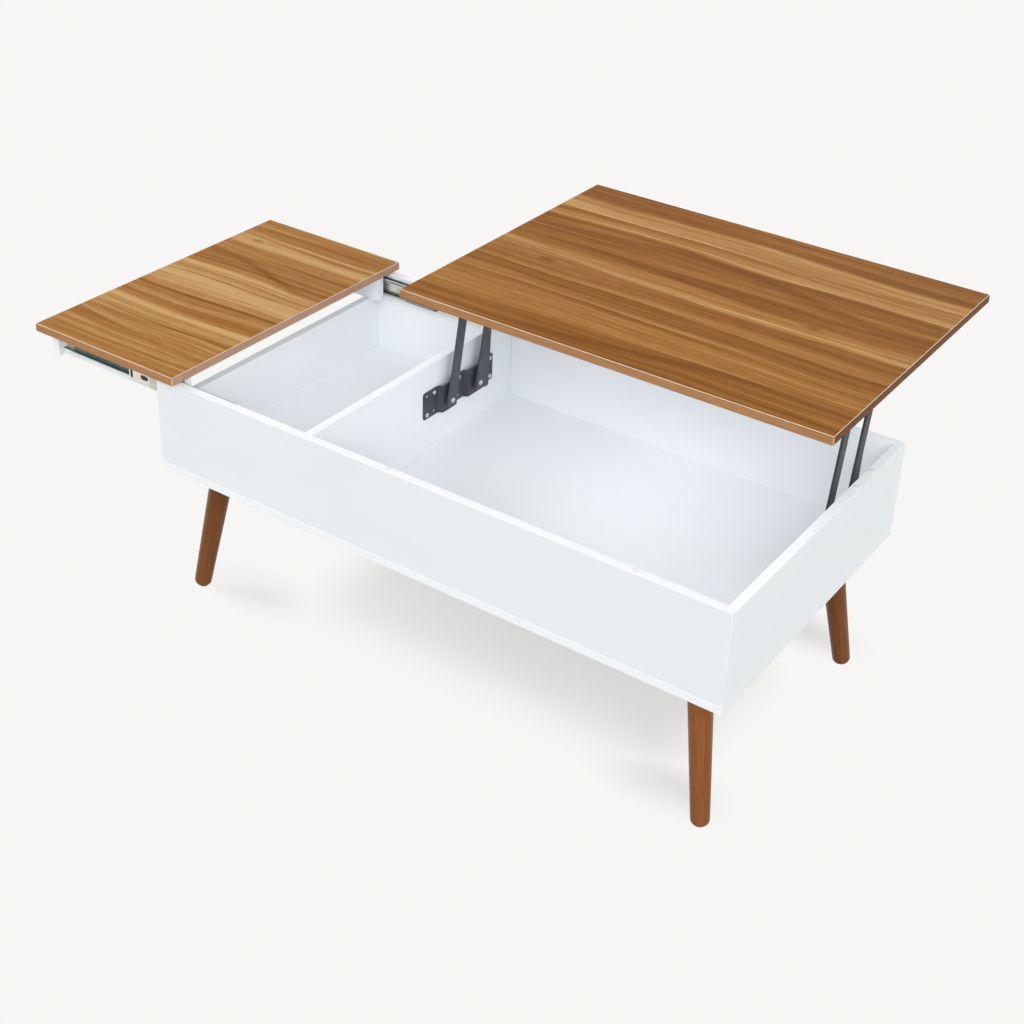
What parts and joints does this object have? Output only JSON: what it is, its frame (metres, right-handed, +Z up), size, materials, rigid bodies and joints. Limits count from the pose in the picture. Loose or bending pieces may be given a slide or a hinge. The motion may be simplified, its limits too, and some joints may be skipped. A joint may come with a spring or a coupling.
{
  "type": "lift top coffee table",
  "caption": "Low table on splayed tapered legs with an open storage box, a lid that lifts level on steel link arms and a smaller top that slides out on telescopic slides.",
  "frame": {"origin": "on the floor, under the centre of the carcass's footprint", "axes": "+X along the table away from the sliding top, +Y to the back, +Z up"},
  "size_m": [1.37, 0.8528, 0.5921],
  "materials": {
    "white_board": "matte white melamine on particle board",
    "walnut_laminate": "satin walnut laminate on particle board, grain along X",
    "walnut_edge_band": "walnut coloured edge band with a pale bevel",
    "stained_wood": "satin walnut stained hardwood",
    "black_steel": "satin black powder coat",
    "zinc_steel": "bright zinc plating",
    "slide_steel": "zinc plated cold rolled strip",
    "cage_plastic": "cream ball retainers",
    "black_plastic": "moulded black plastic",
    "clear_rubber": "clear soft bumper",
    "foot_rubber": "dark foot pad",
    "nylon": "dark nylon washer",
    "beech": "plain beech dowel"
  },
  "bodies": {
    "carcass": {"bottom_panel": "white_board", "front_panel": "white_board", "back_panel": "white_board", "left_end_panel": "white_board", "right_end_panel": "white_board", "divider_panel": "white_board", "carcass_dowels": "beech", "carcass_screws": "zinc_steel", "leg_front_right": "stained_wood", "leg_front_left": "stained_wood", "leg_back_right": "stained_wood", "leg_back_left": "stained_wood", "foot_pads": "foot_rubber", "leg_hanger_bolts": "zinc_steel", "leg_threaded_inserts": "zinc_steel", "front_slide_outer": "slide_steel", "back_slide_outer": "slide_steel", "slide_wall_screws": "zinc_steel", "left_lift_base_plate": "black_steel", "right_lift_base_plate": "black_steel", "base_plate_screws": "zinc_steel", "lower_pivot_rivets": "zinc_steel", "pivot_spacers": "black_steel", "lid_bumpers": "clear_rubber"},
    "rear_arms": {"left_rear_arm": "black_steel", "right_rear_arm": "black_steel"},
    "front_arms": {"left_front_arm": "black_steel", "right_front_arm": "black_steel"},
    "lid": {"lid_board": "walnut_laminate", "lid_edge_band": "walnut_edge_band", "left_lid_bracket": "black_steel", "right_lid_bracket": "black_steel", "lid_bracket_screws": "zinc_steel", "upper_pivot_rivets": "zinc_steel", "pivot_washers": "nylon"},
    "sliding_unit": {"sliding_top_board": "walnut_laminate", "sliding_top_edge_band": "walnut_edge_band", "front_rail": "white_board", "back_rail": "white_board", "sliding_top_fascia": "white_board", "rail_screws": "zinc_steel", "front_slide_inner": "slide_steel", "back_slide_inner": "slide_steel", "slide_rail_screws": "zinc_steel"},
    "slide_middles": {"front_slide_middle": "slide_steel", "back_slide_middle": "slide_steel", "slide_middle_clips": "black_plastic"},
    "outer_cages": {"outer_ball_cages": "cage_plastic", "outer_slide_balls": "zinc_steel"},
    "inner_cages": {"inner_ball_cages": "cage_plastic", "inner_slide_balls": "zinc_steel"}
  },
  "joints": [
    {"name": "lid_lift", "type": "hinge", "parent": "carcass", "child": "rear_arms", "pos_m": [0.1555, 0.1545, 0.3442], "axis": [1, 0, 0], "range_deg": [0, 82.21]},
    {"name": "front_arm_swing", "type": "hinge", "parent": "carcass", "child": "front_arms", "pos_m": [0.1555, 0.0725, 0.3442], "axis": [1, 0, 0], "range_deg": [0, 82.21]},
    {"name": "lid_level", "type": "hinge", "parent": "rear_arms", "child": "lid", "pos_m": [0.1555, 0.19486, 0.56413], "axis": [1, 0, 0], "range_deg": [-82.21, 0]},
    {"name": "sliding_top_travel", "type": "slide", "parent": "carcass", "child": "sliding_unit", "axis": [1, 0, 0], "range_m": [0, 0.27]},
    {"name": "slide_middle_travel", "type": "slide", "parent": "carcass", "child": "slide_middles", "axis": [1, 0, 0], "range_m": [0, 0.1107]},
    {"name": "outer_cage_travel", "type": "slide", "parent": "carcass", "child": "outer_cages", "axis": [1, 0, 0], "range_m": [0, 0.05535]},
    {"name": "inner_cage_travel", "type": "slide", "parent": "carcass", "child": "inner_cages", "axis": [1, 0, 0], "range_m": [0, 0.19035]}
  ],
  "couplings": [
    {"joint": "front_arm_swing", "follows": "lid_lift", "ratio": 1},
    {"joint": "lid_level", "follows": "lid_lift", "ratio": -1},
    {"joint": "slide_middle_travel", "follows": "sliding_top_travel", "ratio": 0.41},
    {"joint": "outer_cage_travel", "follows": "sliding_top_travel", "ratio": 0.205},
    {"joint": "inner_cage_travel", "follows": "sliding_top_travel", "ratio": 0.705}
  ]
}
